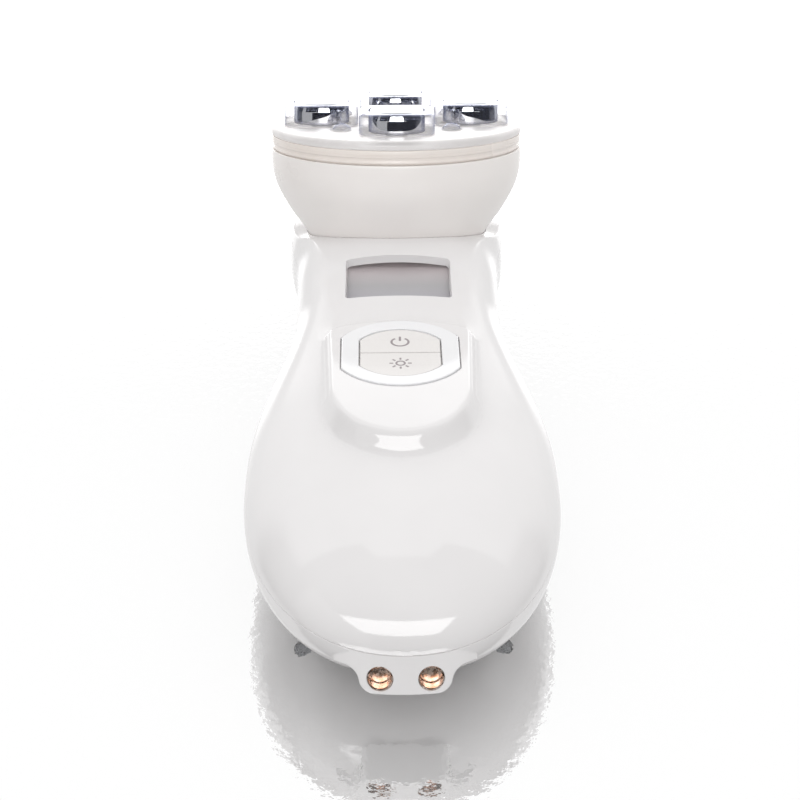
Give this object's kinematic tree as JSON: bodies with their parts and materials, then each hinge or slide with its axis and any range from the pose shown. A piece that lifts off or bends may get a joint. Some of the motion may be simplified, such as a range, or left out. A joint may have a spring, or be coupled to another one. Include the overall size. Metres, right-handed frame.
{
  "type": "handheld facial toning device",
  "caption": "Bulb-shaped handheld facial device with two half-moon keys, a small display and a tilted round head with clear-framed metal electrodes.",
  "frame": {"origin": "centre of the bounding box in X and Y, on the plane the device lies on", "axes": "+X right, +Y from the charging tab to the head, +Z the front with the keys and display"},
  "size_m": [0.068, 0.188, 0.0683],
  "materials": {
    "housing_white": "high gloss",
    "ring_white": "high gloss",
    "key_white": "satin",
    "window_clear": "polished",
    "lcd_grey": "polished",
    "circuit_green": "satin",
    "screw_steel": "satin",
    "switch_black": "satin",
    "plunger_red": "satin",
    "cell_blue": "satin sleeve",
    "tray_grey": "satin",
    "lead_red": "satin",
    "lead_black": "satin",
    "lead_blue": "satin",
    "lead_white": "satin",
    "contact_copper": "polished",
    "ferrite": "matt",
    "bowl_warm_white": "high gloss",
    "trim_cream": "gloss",
    "cap_clear": "polished clear",
    "electrode_chrome": "mirror",
    "reflector_white": "satin",
    "head_board_white": "satin",
    "lamp_yellow": "gloss",
    "pin_gold": "polished"
  },
  "bodies": {
    "housing": {"front_shell": "housing_white", "back_shell": "housing_white", "display_window": "window_clear", "lcd_module": "lcd_grey", "display_board": "circuit_green", "display_screws": "screw_steel", "button_bezel": "ring_white", "switch_power": "switch_black", "switch_led": "switch_black", "main_board": "circuit_green", "board_parts": "switch_black", "board_screws": "screw_steel", "battery": "cell_blue", "battery_tray": "tray_grey", "battery_leads": "lead_red", "charge_contact_left": "contact_copper", "charge_contact_right": "contact_copper", "charge_leads": "lead_black", "driver_board": "circuit_green", "driver_screws": "screw_steel", "rf_transformer": "ferrite", "driver_leads": "lead_blue", "head_leads": "lead_white", "head_bowl": "bowl_warm_white", "head_screws": "screw_steel", "head_trim_ring": "trim_cream", "lens_cover": "cap_clear", "electrode_front": "electrode_chrome", "electrode_rear": "electrode_chrome", "electrode_left": "electrode_chrome", "electrode_right": "electrode_chrome", "reflector_plate": "reflector_white", "head_board": "head_board_white", "head_board_screws": "screw_steel", "lamp_chips": "lamp_yellow", "contact_pins": "pin_gold", "shell_screws": "screw_steel"},
    "power_key": {"power_key": "key_white", "plunger_power": "plunger_red"},
    "led_select_key": {"led_select_key": "key_white", "plunger_led": "plunger_red"}
  },
  "joints": [
    {"name": "power_key_press", "type": "slide", "parent": "housing", "child": "power_key", "axis": [0, -0.0941, -0.9956], "range_m": [0, 0.0004], "stiffness_N_per_m": 4000, "springref_m": -0.0004},
    {"name": "led_select_key_press", "type": "slide", "parent": "housing", "child": "led_select_key", "axis": [0, -0.0941, -0.9956], "range_m": [0, 0.0004], "stiffness_N_per_m": 4000, "springref_m": -0.0004}
  ]
}
